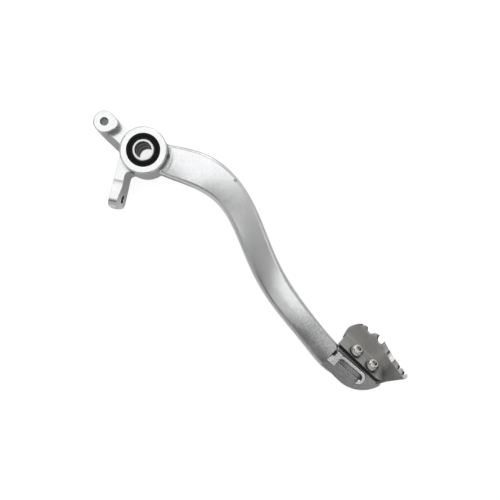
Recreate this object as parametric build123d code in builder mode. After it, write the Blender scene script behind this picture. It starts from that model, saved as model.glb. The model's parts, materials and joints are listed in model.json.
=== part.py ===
"""Rear brake pedal of an off-road motorcycle: forged arm, pivot sleeve on bushes, toothed toe plate.

The pedal lies on its inner side. X runs from the pivot to the toe plate, Y towards the rider's foot
and Z along the pivot axis, outwards from the motorcycle. Lengths are in millimetres, angles in degrees.
"""

from build123d import *
from math import cos, radians, sin
import os

# Pivot: sleeve, bushes and seals
sleeve_length = 30.0
sleeve_bore_radius = 5.05
sleeve_radius = 6.5
sleeve_proud = 0.4
sleeve_chamfer = 0.5
running_clearance = 0.03
bush_wall = 1.5
bush_length = 8.0
boss_radius = 14.0
boss_edge_round = 0.8
boss_root_round = 2.0
seal_radius = 10.0
seal_depth = 4.0
seal_sunk = 0.25
seal_lip_clearance = 0.12
seal_groove_width = 0.7
seal_groove_depth = 0.35

# Push-rod lug, behind the pivot
pushrod_x = -28.5
pushrod_y = -3.5
pushrod_lug_radius = 6.6
pushrod_heel_along = 3.6
pushrod_heel_up = 2.2
pushrod_heel_radius = 4.0
pushrod_lug_top = 27.6
pushrod_web_top = 19.0
pushrod_web_bottom = 6.0
pushrod_web_flank = 3.6
pushrod_edge_round = 0.6
pushrod_tap_radius = 2.5

# Return-spring lug, below the pivot
spring_lug_angle = -58.9
spring_lug_reach = 36.0
spring_lug_near_side = -7.0
spring_lug_far_side = -15.2
spring_lug_draft = 1.8
spring_lug_scoop = 2.0
spring_lug_bottom = 3.0
spring_lug_top = 19.0
spring_lug_end_round = 5.5
spring_lug_corner_round = 1.7
spring_root_round = 3.0
spring_hole_along = 29.5
spring_hole_height = 10.0
spring_hole_radius = 2.5
spring_dent_along = 22.5
spring_dent_radius = 20.0
spring_dent_depth = 0.3

# Arm: centre line stations as x, y, z, width and thickness of the section, then how far its crowned
# outer face falls to the lower and to the upper edge. The sides are drafted from the parting line,
# half way up.
arm_root_inset = 4.0
arm_stations = [
    (0.0, 2.2, 12.6, 2 * (boss_radius - arm_root_inset), 12.6, 0.8, 0.3),
    (26.0, 13.0, 12.8, 21.6, 12.4, 0.8, 0.3),
    (50.0, 17.6, 12.8, 19.6, 12.0, 0.8, 0.4),
    (75.5, 10.4, 11.8, 17.4, 11.8, 0.6, 0.4),
    (104.6, -1.9, 10.4, 17.0, 11.6, 0.6, 0.4),
    (125.0, -6.7, 8.1, 16.3, 11.6, 0.9, 0.4),
    (145.0, -9.6, 6.9, 15.6, 11.6, 1.4, 0.3),
    (171.0, -11.4, 6.8, 15.2, 11.8, 1.9, 0.2),
]
arm_edge_round = 2.2
arm_draft = 0.5
dimple_x = 50.5
dimple_y = 25.0
dimple_z = 18.8
dimple_radius = 1.1

# Toe pad at the end of the arm
pad_rear = 163.0
pad_front = 196.5
pad_top = 5.4
pad_edge_y = -4.6
pad_front_lean = 2.0
pad_keel = -19.0
pad_keel_x = 178.0
pad_keel_rise = 0.3
pad_nose = (191.4, -13.2)
pad_bottom = 0.7
pad_outer = 15.0
pad_slope = 43.0
pad_fall = 11.5
pad_step = 1.4
pocket_x = 177.2
pocket_y = -10.0
pocket_length = 18.0
pocket_width = 5.0
pocket_turn = 3.0
pocket_depth = 3.6
pocket_taper = 20.0
rim_width = 1.5
rim_top = 15.2
rim_depth = 4.0
rim_heel_length = 5.4
rim_heel_bevel = 2.3

# Toe plate: base on the sloping pad, then a wall that turns outwards at the front
plate_thickness = 2.5
plate_rear = 162.0
plate_rear_lean = 2.0
plate_rear_bulge_y = 9.0
plate_rear_round = 6.0
plate_edge_trim = 2.0
plate_nose_rise = 4.6
plate_nose_lean = 3.0
plate_base_width = 11.5
plate_turn_x = 181.5
plate_turn_radius = 13.0
plate_turn_angle = 63.0
plate_wing_reach = 22.0
plate_bend_radius = 4.0
plate_top = 18.0
plate_fall_x = 179.0
plate_tip_top = 10.3
plate_tip_x = 201.6
plate_tip_height = 2.2
plate_tip_round = 0.8
plate_crown_round = 3.0
tooth_first_x = 163.4
tooth_width = 3.2
corner_tooth_pitch = 3.5
rear_tooth_pitch = 8.7
rear_gap_count = 2
wing_tooth_pitch = 6.9
wing_gap_count = 4
rear_gap_depth = 3.2
wing_gap_depth = 2.1
tooth_chamfer = 0.9
tooth_chamfer_angle = 45.0

# Toe screws and washers
screw_count = 2
screw_past_turn = 3.5
screw_spacing = 12.6
screw_from_wall = 7.2
screw_radius = 2.5
screw_length = 11.0
screw_clearance = 0.3
screw_head_radius = 3.7
screw_head_height = 3.4
screw_head_round = 1.5
screw_socket_width = 3.0
screw_socket_depth = 1.6
washer_radius = 3.9
washer_thickness = 0.9

os.makedirs("parts", exist_ok=True)

boss_bottom = sleeve_proud
boss_top = sleeve_length - sleeve_proud
bush_radius = sleeve_radius + running_clearance + bush_wall
pad_plane = Plane(
    origin=(0, pad_edge_y, pad_outer),
    x_dir=(1, 0, 0),
    z_dir=(0, cos(radians(pad_slope)), sin(radians(pad_slope))),
)
fall_plane = Plane(
    origin=(0, pad_edge_y, pad_outer - pad_step),
    x_dir=(1, 0, 0),
    z_dir=(0, -sin(radians(pad_fall)), cos(radians(pad_fall))),
)
rim_plane = Plane((pocket_x, pocket_y, rim_top)).rotated((0, 0, pocket_turn))
pocket_plane = Plane(rim_plane.origin, rim_plane.x_dir, fall_plane.z_dir)
# The front screw stands just past the start of the plate's turn, the other one behind it
screw_places = [
    (plate_turn_x + screw_past_turn - n * screw_spacing, plate_base_width - screw_from_wall)
    for n in reversed(range(screw_count))
]

# Toe plate: the inner face of its wall follows this path, seen from the foot
wall_foot = pad_plane.from_local_coords(Vector(0, plate_base_width, plate_thickness))
plan = Plane.XZ.offset(-wall_foot.Y)


def wall_run():
    """Draws the wall's inner face in the plan: along the arm, round the turn, out along the wing."""
    rear_leg = Line((plate_rear - plate_thickness, wall_foot.Z), (plate_turn_x, wall_foot.Z))
    turn = JernArc(rear_leg @ 1, (1, 0), plate_turn_radius, plate_turn_angle)
    return PolarLine(turn @ 1, plate_wing_reach, plate_turn_angle)


with BuildLine(plan) as wall_path:
    wall_run()
wall_line = wall_path.wires()[0]


def wall_plane(along):
    """Plane on the wall's inner face at a length along it: x along the wall, y up, z out of the face."""
    place = wall_line.position_at(along, position_mode=PositionMode.LENGTH)
    heading = wall_line.tangent_at(along, position_mode=PositionMode.LENGTH)
    return Plane(origin=place, x_dir=heading, z_dir=heading.cross(Vector(0, 1, 0)))


def top_edge(x):
    """Height of the plate's top edge: level at the rear, then falling in a line to the tip."""
    fallen = max(0.0, x - plate_fall_x) / (plate_tip_x - plate_fall_x)
    return plate_top + (plate_tip_top - plate_top) * fallen


with BuildPart() as plate_base:
    with BuildSketch(pad_plane):
        with Locations((plate_rear, 0)):
            Rectangle(
                plate_tip_x - plate_rear,
                plate_base_width + plate_thickness,
                align=(Align.MIN, Align.MIN),
            )
    extrude(amount=plate_thickness)
    # Only the side of the wall that faces outwards
    with BuildSketch(plan):
        with BuildLine():
            wing = wall_run()
            Polyline(
                wing @ 1,
                (plate_rear - plate_thickness, (wing @ 1).Y),
                (plate_rear - plate_thickness, wall_foot.Z),
            )
        make_face()
    extrude(amount=plate_tip_x, both=True, mode=Mode.INTERSECT)


def tooth_gaps():
    """Length along the wall, pitch and depth of each gap: a slit, wide gaps at the rear, then the wing's."""
    rear = [(corner_tooth_pitch, rear_gap_depth)] + [(rear_tooth_pitch, rear_gap_depth)] * rear_gap_count
    along = tooth_first_x - plate_rear + plate_thickness
    gaps = []
    for pitch, depth in rear + [(wing_tooth_pitch, wing_gap_depth)] * wing_gap_count:
        gaps.append((along + pitch / 2, pitch, depth))
        along += pitch
    return gaps


def plate_edges(above_pad, behind_face):
    """Edges of the plate at a height over the pad and a depth behind the wall's inner face."""
    chosen = ShapeList()
    for edge in toe_plate.edges():
        middle = edge @ 0.5
        height = pad_plane.to_local_coords(middle).Z
        depth = wall_line.distance_to(Vector(middle.X, wall_foot.Y, middle.Z))
        if abs(height - above_pad) < 0.01 and abs(depth - behind_face) < 0.01:
            chosen.append(edge)
    return chosen


with BuildPart() as toe_plate:
    with BuildSketch(Plane(origin=wall_line @ 0, x_dir=(0, 1, 0), z_dir=(1, 0, 0))):
        with Locations((0, -plate_thickness / 2)):
            Rectangle(4 * plate_top, plate_thickness)
    sweep(path=wall_line)
    with BuildSketch(pad_plane):
        with Locations((plate_tip_x, 0)):
            Rectangle(plate_tip_x, plate_tip_x)
    extrude(amount=-plate_tip_x, mode=Mode.SUBTRACT)
    add(plate_base.part)
    fillet(plate_edges(plate_thickness, 0), plate_bend_radius)
    fillet(plate_edges(0, plate_thickness), plate_bend_radius + plate_thickness)
    # Outline of the blank, seen along the pivot axis
    with BuildSketch():
        with BuildLine():
            FilletPolyline(
                (plate_rear + plate_rear_lean / 2, pad_edge_y - plate_edge_trim),
                (plate_rear - plate_rear_lean, plate_rear_bulge_y),
                (plate_rear + plate_rear_lean, plate_top - plate_rear_lean),
                (plate_fall_x, plate_top),
                (plate_tip_x, plate_tip_top),
                (plate_tip_x, plate_tip_top - plate_tip_height),
                (pad_front, pad_edge_y + plate_nose_rise),
                (pad_front - plate_nose_lean, pad_edge_y - plate_edge_trim),
                radius=[0, plate_rear_round, plate_rear_round, plate_crown_round, *[plate_tip_round] * 2, 0, 0],
                close=True,
            )
        make_face()
    extrude(amount=plate_tip_x, both=True, mode=Mode.INTERSECT)
    with BuildSketch(pad_plane):
        with Locations(*screw_places):
            Circle(screw_radius + screw_clearance)
    extrude(amount=plate_thickness, mode=Mode.SUBTRACT)
    # Round-bottomed gaps between the teeth, with their inner edges chamfered
    for along, pitch, gap_depth in tooth_gaps():
        face = wall_plane(along)
        gap_width = pitch - tooth_width
        gap_floor = top_edge(face.origin.X) - gap_depth - wall_foot.Y
        for width, depth, taper in [
            (gap_width, 2 * plate_thickness, 0),
            (gap_width + 2 * tooth_chamfer, tooth_chamfer, tooth_chamfer_angle),
        ]:
            with BuildSketch(face):
                with Locations((0, gap_floor + gap_width / 2)):
                    Circle(width / 2)
                    Rectangle(width, plate_top, align=(Align.CENTER, Align.MIN))
            extrude(amount=-depth, taper=taper, mode=Mode.SUBTRACT)

# Screws and washers, each standing on the base of the toe plate
washer_seat = pad_plane.offset(plate_thickness)
head_seat = washer_seat.offset(washer_thickness)

with BuildPart() as toe_washers:
    with BuildSketch(washer_seat):
        with Locations(*screw_places):
            Circle(washer_radius)
            Circle(screw_radius + screw_clearance, mode=Mode.SUBTRACT)
    extrude(amount=washer_thickness)

with BuildPart() as toe_screws:
    with BuildSketch(head_seat):
        with Locations(*screw_places):
            Circle(screw_head_radius)
    extrude(amount=screw_head_height)
    fillet(toe_screws.faces().group_by(Axis(head_seat.origin, head_seat.z_dir))[-1].edges(), screw_head_round)
    with BuildSketch(head_seat.offset(screw_head_height)):
        with Locations(*screw_places):
            RegularPolygon(screw_socket_width / 2, 6, major_radius=False)
    extrude(amount=-screw_socket_depth, mode=Mode.SUBTRACT)
    with BuildSketch(head_seat):
        with Locations(*screw_places):
            Circle(screw_radius)
    extrude(amount=-screw_length)

# Forged arm
with BuildLine() as arm_line:
    Spline(*[(x, y, z) for x, y, z, *section in arm_stations])


def arm_planes():
    """Section planes square to the centre line at each station: x across the arm, y outwards."""
    planes = []
    for x, y, z, *section in arm_stations:
        centre = Vector(x, y, z)
        heading = arm_line.edge().tangent_at(centre)
        planes.append(Plane(origin=centre, x_dir=Vector(0, 0, 1).cross(heading), z_dir=heading))
    return planes


def boss_rims():
    """The two round edges at the ends of the boss."""
    rims = pedal_arm.edges().filter_by(GeomType.CIRCLE).group_by(Axis.Z)
    return rims[0] + rims[-1]


def boss_root(limb, heading):
    """Edges of a limb where it leaves the round side of the boss along a heading."""
    chosen = ShapeList()
    for edge in limb.edges():
        spread = [Vector(point.X, point.Y, 0).length for point in (edge @ 0.1, edge @ 0.5, edge @ 0.9)]
        inside = boss_bottom + boss_edge_round < (edge @ 0.5).Z < boss_top - boss_edge_round
        ahead = (edge @ 0.5).dot(heading) > 0
        if inside and ahead and all(abs(radius - boss_radius) < 0.01 for radius in spread):
            chosen.append(edge)
    return chosen


# Return-spring lug: a drafted bar beside the boss, rounded at its end and drilled across
spring_heading = Vector(cos(radians(spring_lug_angle)), sin(radians(spring_lug_angle)), 0)
spring_across = Vector(0, 0, 1).cross(spring_heading)
spring_side = Plane(
    origin=spring_across * spring_lug_far_side, x_dir=spring_heading, z_dir=-spring_across
)
spring_lug_height = spring_lug_top - spring_lug_bottom

with BuildPart() as spring_lug:
    for height, draft, scoop in [(spring_lug_bottom, 0, 0), (spring_lug_top, spring_lug_draft, spring_lug_scoop)]:
        with BuildSketch(Plane(origin=(0, 0, height), x_dir=spring_heading, z_dir=(0, 0, 1))):
            with BuildLine():
                FilletPolyline(
                    (0, spring_lug_near_side - draft),
                    (spring_dent_along, spring_lug_near_side - draft),
                    (spring_lug_reach, spring_lug_near_side - draft - scoop),
                    (spring_lug_reach, spring_lug_far_side),
                    (0, -boss_radius),
                    radius=[0, 0, *[spring_lug_corner_round] * 2, 0],
                    close=True,
                )
            make_face()
    loft(ruled=True)
    with BuildSketch(spring_side) as side_view:
        with Locations((0, spring_lug_bottom)):
            Rectangle(spring_lug_reach, spring_lug_height, align=(Align.MIN, Align.MIN))
        fillet(side_view.vertices().group_by(Axis.X)[-1], spring_lug_end_round)
    extrude(amount=2 * spring_lug_far_side, mode=Mode.INTERSECT)
    with BuildSketch(Plane.XY.offset(spring_lug_bottom)):
        Circle(boss_radius)
    extrude(amount=spring_lug_height)
    crotch = boss_root(spring_lug, spring_heading).filter_by(GeomType.BSPLINE)
    fillet(crotch.sort_by(Axis((0, 0, 0), spring_heading))[-1], spring_root_round)

with BuildPart() as pedal_arm:
    for plane, (x, y, z, width, thickness, lower_fall, upper_fall) in zip(arm_planes(), arm_stations):
        side = width / 2 - arm_draft
        half = thickness / 2
        with BuildSketch(plane) as arm_section:
            with BuildLine():
                Polyline((-side, half - lower_fall), (-width / 2, 0), (-side, -half), (side, -half))
                Polyline((side, -half), (width / 2, 0), (side, half - upper_fall))
                ThreePointArc((side, half - upper_fall), (0, half), (-side, half - lower_fall))
            make_face()
            corners = arm_section.vertices().group_by(Axis.X)
            fillet(corners[1] + corners[-2], arm_edge_round)
    loft()
    # Pivot boss, blended into the arm
    with BuildSketch(Plane.XY.offset(boss_bottom)):
        Circle(boss_radius)
    extrude(amount=boss_top - boss_bottom)
    fillet(boss_rims(), boss_edge_round)
    fillet(boss_root(pedal_arm, Vector(1, 0, 0)), boss_root_round)
    # Push-rod lug
    with BuildSketch(Plane.YZ):
        with BuildLine():
            Polyline(
                (pushrod_y + pushrod_lug_radius, pushrod_web_bottom),
                (pushrod_y + pushrod_lug_radius, pushrod_web_top),
                (pushrod_y - pushrod_lug_radius + pushrod_web_flank, pushrod_web_top),
                (pushrod_y - pushrod_lug_radius, pushrod_web_bottom),
                close=True,
            )
        make_face()
    extrude(amount=pushrod_x)
    fillet(boss_root(pedal_arm, Vector(-1, 0, 0)), boss_root_round)
    with BuildSketch(Plane.XY.offset(pushrod_web_bottom)):
        with Locations((pushrod_x, pushrod_y)):
            Circle(pushrod_lug_radius)
        with Locations((pushrod_x + pushrod_heel_along, pushrod_y + pushrod_heel_up)):
            Circle(pushrod_heel_radius)
        make_hull()
    extrude(amount=pushrod_lug_top - pushrod_web_bottom)
    pushrod_seat = (pushrod_x, pushrod_y, pushrod_lug_top)
    fillet(pedal_arm.faces().filter_by(Axis.Z).sort_by_distance(pushrod_seat)[0].edges(), pushrod_edge_round)
    # Return-spring lug
    add(spring_lug.part)
    # The lug is dented across its outer face and drilled for the spring's hook
    with BuildSketch(spring_side):
        with Locations((spring_dent_along, spring_lug_top + spring_dent_radius - spring_dent_depth)):
            Circle(spring_dent_radius)
        with Locations((spring_dent_along, spring_lug_top)):
            Rectangle(2 * spring_dent_radius, 2 * spring_dent_depth, mode=Mode.INTERSECT)
        with Locations((spring_hole_along, spring_hole_height)):
            Circle(spring_hole_radius)
    extrude(amount=spring_lug_far_side, mode=Mode.SUBTRACT)
    # Toe pad, sloping to both sides of a crest: the plate's seat towards the foot, the pocket's face below
    with BuildSketch(Plane.XY.offset(pad_bottom)):
        with BuildLine():
            pad_sides = Polyline(
                (pad_front, pad_edge_y),
                (pad_front - pad_front_lean, pad_top),
                (pad_rear, pad_top),
                (pad_rear, pad_keel + pad_keel_rise),
                (pad_keel_x, pad_keel),
            )
            ThreePointArc(pad_sides @ 1, pad_nose, pad_sides @ 0)
        make_face()
    extrude(amount=pad_outer - pad_bottom)
    for seat in [pad_plane, fall_plane]:
        with BuildSketch(seat):
            with Locations((pad_rear, 0)):
                Rectangle(pad_front, 4 * pad_outer, align=(Align.MIN, Align.CENTER))
        extrude(amount=2 * pad_outer, mode=Mode.SUBTRACT)
    # A level rim round the upper side and both ends of a pocket, its heel bevelled down to the arm
    with BuildSketch(rim_plane):
        SlotOverall(pocket_length + 2 * rim_width, pocket_width + 2 * rim_width)
        with Locations((-rim_width, 0)):
            Rectangle(pocket_length, pocket_width, align=(Align.CENTER, Align.MAX), mode=Mode.SUBTRACT)
        with Locations((pad_rear - pocket_x, 0)):
            Rectangle(rim_heel_length, pocket_width + 2 * rim_width, align=(Align.MIN, Align.CENTER))
    extrude(amount=-rim_depth)
    with BuildSketch(Plane.XZ):
        with BuildLine():
            Polyline(
                (pad_rear, rim_top - rim_heel_bevel),
                (pad_rear, rim_top),
                (pad_rear + rim_heel_bevel, rim_top),
                close=True,
            )
        make_face()
    extrude(amount=pad_front, both=True, mode=Mode.SUBTRACT)
    with BuildSketch(pocket_plane):
        SlotOverall(pocket_length, pocket_width)
    extrude(amount=-pocket_depth, taper=pocket_taper, mode=Mode.SUBTRACT)
    # A small dimple on the arm
    with Locations((dimple_x, dimple_y, dimple_z)):
        Sphere(dimple_radius, mode=Mode.SUBTRACT)
    # Bores and tapped holes
    with BuildSketch(Plane.XY):
        Circle(bush_radius)
    extrude(amount=sleeve_length, mode=Mode.SUBTRACT)
    with BuildSketch(Plane.XY.offset(pushrod_lug_top)):
        with Locations((pushrod_x, pushrod_y)):
            Circle(pushrod_tap_radius)
    extrude(amount=pushrod_web_bottom - pushrod_lug_top, mode=Mode.SUBTRACT)
    with BuildSketch(Plane.XY.offset(boss_bottom), Plane.XY.offset(boss_top - seal_depth)):
        Circle(seal_radius)
    extrude(amount=seal_depth, mode=Mode.SUBTRACT)
    with BuildSketch(head_seat):
        with Locations(*screw_places):
            Circle(screw_radius)
    extrude(amount=-screw_length, mode=Mode.SUBTRACT)

# Sleeve, bushes and seals, all turned about the pivot axis
with BuildPart() as pivot_sleeve:
    with BuildSketch():
        Circle(sleeve_radius)
        Circle(sleeve_bore_radius, mode=Mode.SUBTRACT)
    extrude(amount=sleeve_length)
    chamfer(pivot_sleeve.edges().filter_by(GeomType.CIRCLE).group_by(SortBy.RADIUS)[-1], sleeve_chamfer)


def bush(low):
    """A plain bush in the boss, from the given height up."""
    with BuildPart() as piece:
        with BuildSketch(Plane.XY.offset(low)):
            Circle(bush_radius)
            Circle(sleeve_radius + running_clearance, mode=Mode.SUBTRACT)
        extrude(amount=bush_length)
    return piece


def dust_seal(mouth, inward):
    """A rubber ring with a grooved face, sunk in the mouth of the boss. inward is +1 or -1 along Z."""
    face = mouth + inward * seal_sunk
    back = mouth + inward * seal_depth
    groove_radius = (sleeve_radius + seal_radius) / 2
    with BuildPart() as piece:
        with BuildSketch(Plane.XZ):
            with BuildLine():
                Polyline(
                    (sleeve_radius + seal_lip_clearance, face),
                    (groove_radius - seal_groove_width / 2, face),
                    (groove_radius, face + inward * seal_groove_depth),
                    (groove_radius + seal_groove_width / 2, face),
                    (seal_radius, face),
                    (seal_radius, back),
                    (sleeve_radius + seal_lip_clearance, back),
                    close=True,
                )
            make_face()
        revolve(axis=Axis.Z)
    return piece


outer_bush = bush(boss_top - seal_depth - bush_length)
inner_bush = bush(boss_bottom + seal_depth)
outer_dust_seal = dust_seal(boss_top, -1)
inner_dust_seal = dust_seal(boss_bottom, 1)

pieces = {
    "pedal_arm": pedal_arm,
    "pivot_sleeve": pivot_sleeve,
    "outer_bush": outer_bush,
    "inner_bush": inner_bush,
    "outer_dust_seal": outer_dust_seal,
    "inner_dust_seal": inner_dust_seal,
    "toe_plate": toe_plate,
    "toe_screws": toe_screws,
    "toe_washers": toe_washers,
}
for name, piece in pieces.items():
    piece.part.label = name
    export_step(piece.part, f"parts/{name}.step")
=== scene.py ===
"""Studio scene of a rear brake pedal: forged arm, sleeved pivot and toothed toe plate.

The pedal lies on its inner side on a pale floor and is seen from almost straight above. Lengths are in
metres, in the pedal's own frame: X from the pivot to the toe plate, Y towards the foot, Z along the pivot.
"""

import json

import bpy
import numpy as np
from mathutils import Matrix, Quaternion, Vector

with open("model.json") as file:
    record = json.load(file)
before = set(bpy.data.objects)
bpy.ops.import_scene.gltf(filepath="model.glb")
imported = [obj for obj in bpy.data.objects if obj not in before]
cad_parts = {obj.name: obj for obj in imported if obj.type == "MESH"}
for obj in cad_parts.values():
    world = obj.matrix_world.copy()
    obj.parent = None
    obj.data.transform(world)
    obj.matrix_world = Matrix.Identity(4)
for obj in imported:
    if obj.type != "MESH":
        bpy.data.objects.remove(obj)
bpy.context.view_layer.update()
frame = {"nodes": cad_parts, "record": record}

MM = 0.001

# Camera: where it stands, the point at the middle of the picture and the picture's right-hand direction
CAMERA_PLACE = Vector((100.0, -21.0, 552.0)) * MM
PICTURE_CENTRE = Vector((85.0, 1.2, 12.0)) * MM
PICTURE_RIGHT = Vector((0.7254, 0.6884, 0.0))
PICTURE_WIDTH = 300.0 * MM
SENSOR_WIDTH = 36.0
NEAREST_SEEN = 10.0 * MM

# Room round the lamps: its strength, and how much more of it the metal mirrors
ROOM_LIGHT = 0.10
ROOM_GLOSS = 0.03

# Floor: half its width, its paint, the strength of its white, and how much of that white the camera and the
# metal see in place of the lit and shadowed paint
FLOOR_REACH = 4.0
FLOOR_PAINT = (0.92, 0.92, 0.92, 1)
FLOOR_WHITE = 1.38
FLOOR_GLOW = 0.62
FLOOR_GLOSS = 0.30
WHITE = (1, 1, 1, 1)

# Stretches along X: painted shade darkening the arm, the forging turning grainy, painted shade on the toe
# pad
SHADE_FALLOFF = (48.0 * MM, 78.0 * MM)
BLASTING = (120.0 * MM, 145.0 * MM)
PAD_START = (160.0 * MM, 172.0 * MM)
# Distances from the pivot axis over which the painted shade on the walls of the boss and lugs fades
PIVOT_FADE = (24.0 * MM, 42.0 * MM)

# Top edge of the toe plate: its level, where it starts to fall, how fast, and how deep the teeth reach
PLATE_TOP = 18.0 * MM
PLATE_FALL_X = 179.0 * MM
PLATE_FALL = 0.34
TOOTH_DEPTH = 3.4 * MM
# Directions that the plate's base, which gets painted light, and its shear-cut lower edge, which gets
# painted shade, face
PLATE_SEAT = (0.0, 0.731, 0.682)
PLATE_LOWER_EDGE = (0.0, -0.682, 0.731)
# Direction from the lit side to the shaded side of the teeth and screw heads: what faces against it gets a
# painted highlight, and what faces along it gets painted shade
LIT_TO_SHADED = (0.7254, 0.6884, 0.0)

# Sleeve: pitch of the turning rings on its ends and of the painted shade and highlight bands along its bore
TURNING_PITCH = 0.22 * MM
BORE_BAND_PITCH = 9.0 * MM

# Rays that look for edges and for hollows at each point of a finish
EDGE_SAMPLES = 6
HOLLOW_SAMPLES = 8

# Colours of the forging, the last one its tint at a grazing view
ALLOY_SATIN = (0.69, 0.694, 0.70, 1)
ALLOY_CLEAN = (0.72, 0.723, 0.728, 1)
# Painted shade: the arm darkening away from the pivot, then the toe pad
ALLOY_FALLOFF_SHADE = (0.52, 0.522, 0.526, 1)
ALLOY_PAD_SHADE = (0.46, 0.462, 0.465, 1)
ALLOY_SPECK = (0.36, 0.36, 0.365, 1)
ALLOY_WORN = (0.86, 0.86, 0.87, 1)
# Painted shade: on the walls by the pivot, then in corners and recesses
ALLOY_WALL_SHADE = (0.20, 0.20, 0.21, 1)
ALLOY_CORNER_SHADE = (0.05, 0.05, 0.052, 1)
ALLOY_GRAZING = (0.7, 0.7, 0.7, 1)

# Colours of the toe plate
PLATE_DARK = (0.25, 0.247, 0.235, 1)
PLATE_LIGHT = (0.31, 0.306, 0.29, 1)
# Painted light on the plate's base, then a painted highlight on the lit flanks of the teeth
PLATE_SEAT_LIGHT = (0.50, 0.495, 0.48, 1)
PLATE_TOOTH_HIGHLIGHT = (0.86, 0.85, 0.83, 1)
PLATE_WORN = (0.80, 0.79, 0.77, 1)
# Painted shade on the shaded flanks of the teeth and the lower edge, then in the plate's corners
PLATE_EDGE_SHADE = (0.045, 0.044, 0.042, 1)
PLATE_CORNER_SHADE = (0.04, 0.04, 0.038, 1)

# Colours of the screws and washers
PLATING_SATIN = (0.56, 0.56, 0.55, 1)
PLATING_BRIGHT = (0.66, 0.66, 0.65, 1)
# Painted shade on the shaded side of the screw heads, then inside their sockets
PLATING_SHADED = (0.06, 0.06, 0.06, 1)
SOCKET_SHADE = (0.05, 0.05, 0.05, 1)
OXIDE_BLACK = (0.04, 0.04, 0.04, 1)
OXIDE_GREY = (0.08, 0.08, 0.078, 1)
OXIDE_WORN = (0.3, 0.3, 0.29, 1)

# Colours of the seals and bushes
RUBBER_BLACK = (0.006, 0.006, 0.0065, 1)
RUBBER_BLOOM = (0.012, 0.012, 0.013, 1)
BRONZE_DARK = (0.36, 0.25, 0.12, 1)
BRONZE_LIGHT = (0.50, 0.36, 0.19, 1)

# Colours of the sleeve and its bore, the last one their tint at a grazing view
SLEEVE_SATIN = (0.66, 0.66, 0.67, 1)
SLEEVE_BRIGHT = (0.76, 0.76, 0.77, 1)
# Painted shade in the hollows of the sleeve's ends, then the bore's painted shade and painted highlight
# bands
SLEEVE_HOLLOW_SHADE = (0.16, 0.155, 0.15, 1)
BORE_SHADE = (0.02, 0.02, 0.019, 1)
BORE_HIGHLIGHT = (0.50, 0.495, 0.48, 1)
SLEEVE_GRAZING = (0.4, 0.4, 0.4, 1)


def set_camera():
    """Places the camera so that the picture's width spans PICTURE_WIDTH at the aimed point."""
    back = (CAMERA_PLACE - PICTURE_CENTRE).normalized()
    right = (PICTURE_RIGHT - PICTURE_RIGHT.dot(back) * back).normalized()
    up = back.cross(right)
    lens = bpy.data.cameras.new("camera")
    lens.sensor_width = SENSOR_WIDTH
    lens.lens = SENSOR_WIDTH * (CAMERA_PLACE - PICTURE_CENTRE).length / PICTURE_WIDTH
    lens.clip_start = NEAREST_SEEN
    camera = bpy.data.objects.new("camera", lens)
    turn = Matrix((right, up, back)).transposed().to_4x4()
    camera.matrix_world = Matrix.Translation(CAMERA_PLACE) @ turn
    bpy.context.scene.collection.objects.link(camera)
    bpy.context.scene.camera = camera


class Signal:
    """A shader socket that takes part in arithmetic: each operator adds one Math node to its finish."""

    def __init__(self, finish, socket):
        self.finish = finish
        self.socket = socket

    def _math(self, operation, first, second):
        return self.finish.node("ShaderNodeMath", {"operation": operation}, {0: first, 1: second})

    def __add__(self, other):
        return self._math("ADD", self, other)

    def __radd__(self, other):
        return self._math("ADD", other, self)

    def __sub__(self, other):
        return self._math("SUBTRACT", self, other)

    def __rsub__(self, other):
        return self._math("SUBTRACT", other, self)

    def __mul__(self, other):
        return self._math("MULTIPLY", self, other)

    def __rmul__(self, other):
        return self._math("MULTIPLY", other, self)


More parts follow.
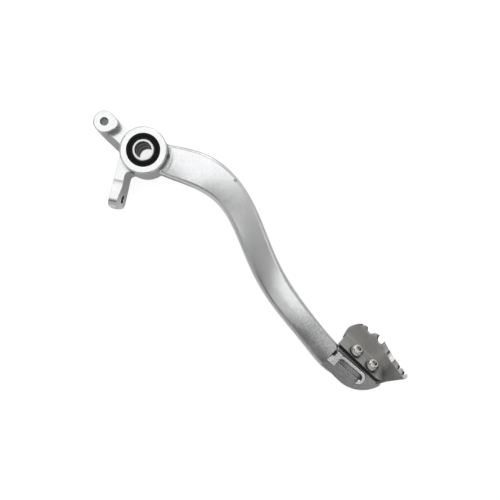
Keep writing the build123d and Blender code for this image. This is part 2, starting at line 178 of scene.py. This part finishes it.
class Finish:
    """A material, or a world, whose nodes are written as expressions on signals."""

    def __init__(self, name, blocks=bpy.data.materials):
        self.block = blocks.new(name)
        self.block.use_nodes = True
        self.tree = self.block.node_tree
        self.tree.nodes.clear()

    def node(self, kind, settings=None, inputs=None, output=0):
        """Adds a node, sets its settings first, then its sockets from numbers, colours or signals."""
        made = self.tree.nodes.new(kind)
        for name, value in (settings or {}).items():
            setattr(made, name, value)
        for name, value in (inputs or {}).items():
            if isinstance(value, Signal):
                self.tree.links.new(value.socket, made.inputs[name])
            else:
                made.inputs[name].default_value = value
        return Signal(self, made.outputs[output]) if len(made.outputs) else None

    def mirrored(self):
        """1 for rays that come by way of a glossy surface."""
        return self.node("ShaderNodeLightPath", output="Is Glossy Ray")

    def looked_at(self):
        """1 for rays that reach the camera at once or through something clear."""
        straight = self.node("ShaderNodeLightPath", output="Is Camera Ray")
        through = self.node("ShaderNodeLightPath", output="Is Transmission Ray")
        return straight + through

    def place(self):
        """The point on the surface, in metres, in the pedal's frame."""
        return self.node("ShaderNodeTexCoord", output="Object")

    def coordinate(self, axis):
        """One coordinate of the point on the surface, in metres."""
        return self.node("ShaderNodeSeparateXYZ", {}, {0: self.place()}, output=axis)

    def reach(self):
        """Distance from the pivot axis, in metres."""
        flat = self.node("ShaderNodeVectorMath", {"operation": "MULTIPLY"}, {0: self.place(), 1: (1, 1, 0)})
        return self.node("ShaderNodeVectorMath", {"operation": "LENGTH"}, {0: flat}, output="Value")

    def normal(self):
        """The direction that the surface faces."""
        return self.node("ShaderNodeNewGeometry", output="Normal")

    def rounded(self, radius):
        """The direction that the surface would face with its edges rounded to a radius in metres."""
        return self.node("ShaderNodeBevel", {"samples": EDGE_SAMPLES}, {"Radius": radius})

    def alignment(self, first, second):
        """Cosine of the angle between two directions."""
        return self.node(
            "ShaderNodeVectorMath", {"operation": "DOT_PRODUCT"}, {0: first, 1: second}, output="Value"
        )

    def facing(self, direction):
        """How far the surface faces a direction: 1 straight at it, 0 across it, -1 away from it."""
        return self.alignment(self.normal(), direction)

    def noise(self, size, detail=2.0, stretch=(1.0, 1.0, 1.0)):
        """Clouds of a typical size in metres, drawn out along an axis where its stretch is above one."""
        scale = [1.0 / (size * factor) for factor in stretch]
        spread = self.node("ShaderNodeMapping", {}, {"Vector": self.place(), "Scale": scale})
        return self.node(
            "ShaderNodeTexNoise", {}, {"Vector": spread, "Scale": 1.0, "Detail": detail, "Roughness": 0.55}
        )

    def wave(self, distance, pitch):
        """A sine that comes round once each time the distance grows by the pitch."""
        return self.node("ShaderNodeMath", {"operation": "SINE"}, {0: distance * (2 * np.pi / pitch)})

    def between(self, signal, low, high):
        """Rises smoothly from 0 to 1 as the signal goes from low to high."""
        return self.node(
            "ShaderNodeMapRange",
            {"interpolation_type": "SMOOTHSTEP"},
            {"Value": signal, "From Min": low, "From Max": high},
        )

    def mix(self, share, first, second):
        """A colour that goes from the first to the second as the share goes from 0 to 1."""
        return self.node(
            "ShaderNodeMix", {"data_type": "RGBA"}, {0: share, 6: first, 7: second}, output=2
        )

    def edges(self, radius):
        """1 on edges sharper than the radius, 0 on flat stretches."""
        return self.between(1.0 - self.alignment(self.rounded(radius), self.normal()), 0.004, 0.12)

    def hollows(self, reach):
        """1 deep in corners and recesses, 0 on open surfaces."""
        open_sky = self.node(
            "ShaderNodeAmbientOcclusion", {"samples": HOLLOW_SAMPLES}, {"Distance": reach}, output="AO"
        )
        return 1.0 - open_sky

    def walls(self):
        """1 on surfaces that run along the pivot axis, 0 on those that lie square to it."""
        upward = self.node("ShaderNodeSeparateXYZ", {}, {0: self.normal()}, output="Z")
        level = self.node("ShaderNodeMath", {"operation": "ABSOLUTE"}, {0: upward})
        return 1.0 - self.between(level, 0.12, 0.60)

    def bump(self, height, depth, strength, rounding=None):
        """A normal from a height signal of the given depth in metres, over softened edges if asked."""
        inputs = {"Height": height, "Distance": depth, "Strength": strength}
        if rounding is not None:
            inputs["Normal"] = self.rounded(rounding)
        return self.node("ShaderNodeBump", {}, inputs)

    def close(self, **sockets):
        """Ends the finish with a Principled shader; names use underscores for the spaces of its sockets."""
        inputs = {name.replace("_", " "): value for name, value in sockets.items()}
        shader = self.node("ShaderNodeBsdfPrincipled", {}, inputs)
        self.node("ShaderNodeOutputMaterial", {}, {"Surface": shader})
        return self.block


def forged_alloy():
    """Aluminium forging: pale by the pivot, grainy at the toe, painted shade along the arm, on the pad,
    pivot walls and in corners.
    """
    finish = Finish("forged_alloy")
    along = finish.coordinate("X")
    # Painted shade: the arm darkened from 48 to 78 mm along X, standing in for studio light falling off
    # along it
    falloff_shade = finish.between(along, *SHADE_FALLOFF)
    blasted = finish.between(along, *BLASTING)
    # Painted shade on the toe pad
    pad = finish.between(along, *PAD_START)
    # Painted shade on the walls of the boss and lugs near the pivot
    pivot_wall_shade = finish.walls() * (1.0 - finish.between(finish.reach(), *PIVOT_FADE))
    clouds = finish.noise(14 * MM, detail=3.0)
    grain = finish.noise(0.5 * MM, detail=3.0)
    specks = finish.between(finish.noise(1.0 * MM), 0.40, 0.62)
    worn = finish.edges(0.8 * MM)
    # Painted shade in corners and recesses
    corner_shade = finish.between(finish.hollows(5 * MM), 0.25, 0.80)
    pale = finish.mix(finish.between(clouds, 0.35, 0.65), ALLOY_SATIN, ALLOY_CLEAN)
    falloff_shaded = finish.mix(falloff_shade * 0.8, pale, ALLOY_FALLOFF_SHADE)
    pad_shaded = finish.mix(pad * 0.6, falloff_shaded, ALLOY_PAD_SHADE)
    speckled = finish.mix(specks * (0.12 + blasted * 0.45), pad_shaded, ALLOY_SPECK)
    bright = finish.mix(worn * 0.6, speckled, ALLOY_WORN)
    skin = finish.mix(pivot_wall_shade * 0.65, bright, ALLOY_WALL_SHADE)
    return finish.close(
        Base_Color=finish.mix(corner_shade * 0.95, skin, ALLOY_CORNER_SHADE),
        Metallic=1.0,
        Roughness=0.17 + clouds * 0.02 + grain * 0.05 + blasted * 0.05 - worn * 0.05,
        Specular_Tint=ALLOY_GRAZING,
        Normal=finish.bump(grain * (0.15 + blasted * 0.85), 0.05 * MM, 0.7, rounding=0.35 * MM),
    )


def tooth_strip(finish):
    """1 on the plate's teeth: the strip below its top edge, level at the rear, then falling in a line."""
    ahead = finish.coordinate("X") - PLATE_FALL_X
    past = finish.node("ShaderNodeMath", {"operation": "MAXIMUM"}, {0: ahead, 1: 0.0})
    below_edge = PLATE_TOP - past * PLATE_FALL - finish.coordinate("Y")
    return 1.0 - finish.between(below_edge, 0.7 * TOOTH_DEPTH, TOOTH_DEPTH)


def pressed_steel():
    """Satin pressed steel: warm dark grey, drawn streaks, painted light on its base and the teeth's near
    flanks, painted shade on the teeth's far flanks, lower edge and corners.
    """
    finish = Finish("pressed_steel")
    streaks = finish.noise(0.35 * MM, detail=3.0, stretch=(14.0, 1.0, 14.0))
    clouds = finish.noise(9 * MM)
    worn = finish.edges(0.5 * MM)
    teeth = tooth_strip(finish)
    # Painted shade in the plate's corners, deepest in the bend by the wall
    corner_shade = finish.between(finish.hollows(8 * MM), 0.25, 0.80)
    # Painted highlight on the teeth's flanks that face the light, painted shade on those that face away
    toward_shaded_side = finish.facing(LIT_TO_SHADED)
    lit_teeth = teeth * finish.between(toward_shaded_side, -0.2, -0.6)
    shaded_teeth = teeth * finish.between(toward_shaded_side, 0.15, 0.40)
    # Painted light on the plate's base
    seat_light = finish.between(finish.facing(PLATE_SEAT), 0.85, 0.99)
    # Painted shade on the plate's lower edge
    lower_edge = finish.between(finish.facing(PLATE_LOWER_EDGE), 0.80, 0.95)
    base = finish.mix(finish.between(clouds, 0.3, 0.7), PLATE_DARK, PLATE_LIGHT)
    seat_lit = finish.mix(seat_light * 0.6, base, PLATE_SEAT_LIGHT)
    tooth_lit = finish.mix(lit_teeth, seat_lit, PLATE_TOOTH_HIGHLIGHT)
    bright = finish.mix(worn * (0.5 - teeth * 0.35), tooth_lit, PLATE_WORN)
    shaded_edges = finish.mix(shaded_teeth + lower_edge, bright, PLATE_EDGE_SHADE)
    return finish.close(
        Base_Color=finish.mix(corner_shade * 0.8, shaded_edges, PLATE_CORNER_SHADE),
        Metallic=1.0,
        Roughness=0.46 + streaks * 0.12 + clouds * 0.06 - teeth * 0.22,
        Normal=finish.bump(streaks, 0.012 * MM, 0.5, rounding=0.25 * MM),
    )


def plated_steel():
    """Bright plated screw heads with a fine grain, painted shade inside the socket and on the heads' shaded
    side.
    """
    finish = Finish("plated_steel")
    clouds = finish.noise(2.5 * MM)
    grain = finish.noise(0.2 * MM)
    # Painted shade inside the socket
    socket = finish.between(finish.hollows(2.2 * MM), 0.35, 0.80)
    # Painted shade on the side of each head that faces away from the light
    shaded = finish.between(finish.facing(LIT_TO_SHADED), 0.46, 0.62)
    base = finish.mix(clouds, PLATING_SATIN, PLATING_BRIGHT)
    head = finish.mix(shaded * 0.85, base, PLATING_SHADED)
    return finish.close(
        Base_Color=finish.mix(socket, head, SOCKET_SHADE),
        Metallic=1.0,
        Roughness=0.12 + clouds * 0.08,
        Normal=finish.bump(grain, 0.006 * MM, 0.5, rounding=0.2 * MM),
    )


def dark_steel():
    """Oxidised washers, worn through at their rims."""
    finish = Finish("dark_steel")
    clouds = finish.noise(1.5 * MM)
    worn = finish.edges(0.3 * MM)
    base = finish.mix(clouds, OXIDE_BLACK, OXIDE_GREY)
    return finish.close(
        Base_Color=finish.mix(worn * 0.5, base, OXIDE_WORN),
        Metallic=1.0,
        Roughness=0.38 + clouds * 0.12,
        Normal=finish.bump(clouds, 0.01 * MM, 0.5),
    )


def seal_rubber():
    """Moulded black rubber with a faint bloom and a fine grain."""
    finish = Finish("seal_rubber")
    clouds = finish.noise(3 * MM)
    grain = finish.noise(0.25 * MM)
    return finish.close(
        Base_Color=finish.mix(clouds, RUBBER_BLACK, RUBBER_BLOOM),
        Metallic=0.0,
        Roughness=0.58 + clouds * 0.14,
        Specular_IOR_Level=0.15,
        Normal=finish.bump(grain, 0.015 * MM, 0.5, rounding=0.15 * MM),
    )


def ground_steel():
    """Ground sleeve: bright, with fine turning rings on its ends, painted shade in their hollows, and a
    bore painted in shade with bands of painted highlight.
    """
    finish = Finish("ground_steel")
    clouds = finish.noise(4 * MM)
    rings = finish.wave(finish.reach(), TURNING_PITCH)
    bands = finish.wave(finish.coordinate("Z"), BORE_BAND_PITCH)
    # Painted shade in the hollows of the sleeve's ends
    hollow_shade = finish.between(finish.hollows(9 * MM), 0.45, 0.95)
    base = finish.mix(clouds, SLEEVE_SATIN, SLEEVE_BRIGHT)
    ends = finish.mix(hollow_shade * 0.7, base, SLEEVE_HOLLOW_SHADE)
    # Painted shade over the bore's walls, with bands of painted highlight standing in for its rings
    bore = finish.mix(finish.between(bands, -0.2, 0.9), BORE_SHADE, BORE_HIGHLIGHT)
    return finish.close(
        Base_Color=finish.mix(finish.walls() * 0.9, ends, bore),
        Metallic=1.0,
        Roughness=0.26 + clouds * 0.10,
        Specular_Tint=SLEEVE_GRAZING,
        Normal=finish.bump(rings, 0.004 * MM, 0.4, rounding=0.2 * MM),
    )


def bush_bronze():
    """Sintered bronze, slightly porous."""
    finish = Finish("bush_bronze")
    pores = finish.noise(0.3 * MM, detail=3.0)
    clouds = finish.noise(3 * MM)
    return finish.close(
        Base_Color=finish.mix(clouds, BRONZE_DARK, BRONZE_LIGHT),
        Metallic=1.0,
        Roughness=0.42 + pores * 0.15,
        Normal=finish.bump(pores, 0.01 * MM, 0.5),
    )


FINISHES = {
    "forged_alloy": forged_alloy,
    "pressed_steel": pressed_steel,
    "plated_steel": plated_steel,
    "dark_steel": dark_steel,
    "seal_rubber": seal_rubber,
    "ground_steel": ground_steel,
    "bush_bronze": bush_bronze,
}


def dress_nodes():
    """Gives each CAD node the finish of its slot in the record."""
    made = {slot: make() for slot, make in FINISHES.items()}
    for row in frame["record"]["subparts"]:
        node = frame["nodes"][row["node"]]
        node.data.materials.clear()
        node.data.materials.append(made[row["material_slot"]])


def softbox(name, place, size, brightness, aim=PICTURE_CENTRE, turn=0.0):
    """A rectangular area lamp at a place, aimed at a point and turned in degrees about its own axis.

    Its face is as bright as a white surface of that strength.
    """
    lamp = bpy.data.lights.new(name, "AREA")
    lamp.shape = "RECTANGLE"
    lamp.size, lamp.size_y = size
    lamp.energy = brightness * np.pi * size[0] * size[1]
    box = bpy.data.objects.new(name, lamp)
    box.location = place
    aimed = (Vector(place) - Vector(aim)).to_track_quat("Z", "Y")
    box.rotation_euler = (aimed @ Quaternion((0, 0, 1), np.radians(turn))).to_euler()
    bpy.context.scene.collection.objects.link(box)


def overhead(name, place, size, brightness, turn=0.0):
    """A softbox that faces straight down."""
    softbox(name, place, size, brightness, aim=(place[0], place[1], 0.0), turn=turn)


def light_studio():
    """Softboxes overhead, which the pedal's open face mirrors, and round it, which its walls mirror."""
    overhead("key_softbox", (-0.345, 0.30, 1.10), (0.86, 0.86), 1.3, turn=-12.0)
    overhead("middle_softbox", (0.20, 0.26, 1.10), (0.24, 0.97), 0.38)
    overhead("toe_softbox", (0.47, 0.36, 1.10), (0.26, 0.96), 1.7)
    overhead("lug_softbox", (-0.33, -0.50, 1.00), (0.74, 0.70), 0.55)
    overhead("shank_softbox", (0.52, -0.26, 1.00), (0.44, 0.26), 1.0)
    softbox("foot_softbox", (0.10, 1.00, 0.80), (1.4, 0.6), 0.8)
    softbox("heel_softbox", (-0.65, 0.85, 0.45), (0.9, 0.7), 1.2)
    softbox("pivot_softbox", (-0.95, 0.00, 0.30), (1.0, 0.5), 1.3)
    softbox("fill_softbox", (0.10, -1.00, 0.20), (1.6, 0.3), 0.5)
    softbox("flank_softbox", (0.00, -1.00, 0.72), (1.5, 0.6), 0.42)
    softbox("tip_softbox", (1.15, 0.05, 0.62), (1.5, 0.8), 0.6)
    softbox("horizon_softbox", (0.10, 1.20, 0.20), (1.8, 0.36), 0.7)


def studio_world():
    """A dim room that lights the pedal a little and is white where the camera looks past the floor."""
    room = Finish("studio_world", bpy.data.worlds)
    strength = ROOM_LIGHT + room.looked_at() * (1.0 - ROOM_LIGHT) + room.mirrored() * ROOM_GLOSS
    backdrop = room.node("ShaderNodeBackground", {}, {"Color": WHITE, "Strength": strength})
    room.node("ShaderNodeOutputWorld", {}, {"Surface": backdrop})
    bpy.context.scene.world = room.block


def floor_paint():
    """Pale paint that the camera and the metal see as nearly white, with a share of the pedal's shadow."""
    finish = Finish("studio_floor")
    lit = finish.node("ShaderNodeBsdfDiffuse", {}, {"Color": FLOOR_PAINT})
    white = finish.node("ShaderNodeEmission", {}, {"Color": WHITE, "Strength": FLOOR_WHITE})
    share = finish.looked_at() * FLOOR_GLOW + finish.mirrored() * FLOOR_GLOSS
    shade = finish.node("ShaderNodeMixShader", {}, {0: share, 1: lit, 2: white})
    finish.node("ShaderNodeOutputMaterial", {}, {"Surface": shade})
    return finish.block


def studio_floor():
    """A square floor under the pedal, centred on the pivot."""
    mesh = bpy.data.meshes.new("studio_floor")
    corners = FLOOR_REACH * np.array([(-1, -1, 0), (1, -1, 0), (1, 1, 0), (-1, 1, 0)])
    mesh.from_pydata(corners.tolist(), [], [(0, 1, 2, 3)])
    mesh.materials.append(floor_paint())
    floor = bpy.data.objects.new("studio_floor", mesh)
    bpy.context.scene.collection.objects.link(floor)


bpy.context.scene.view_settings.view_transform = "Standard"
set_camera()
dress_nodes()
light_studio()
studio_world()
studio_floor()
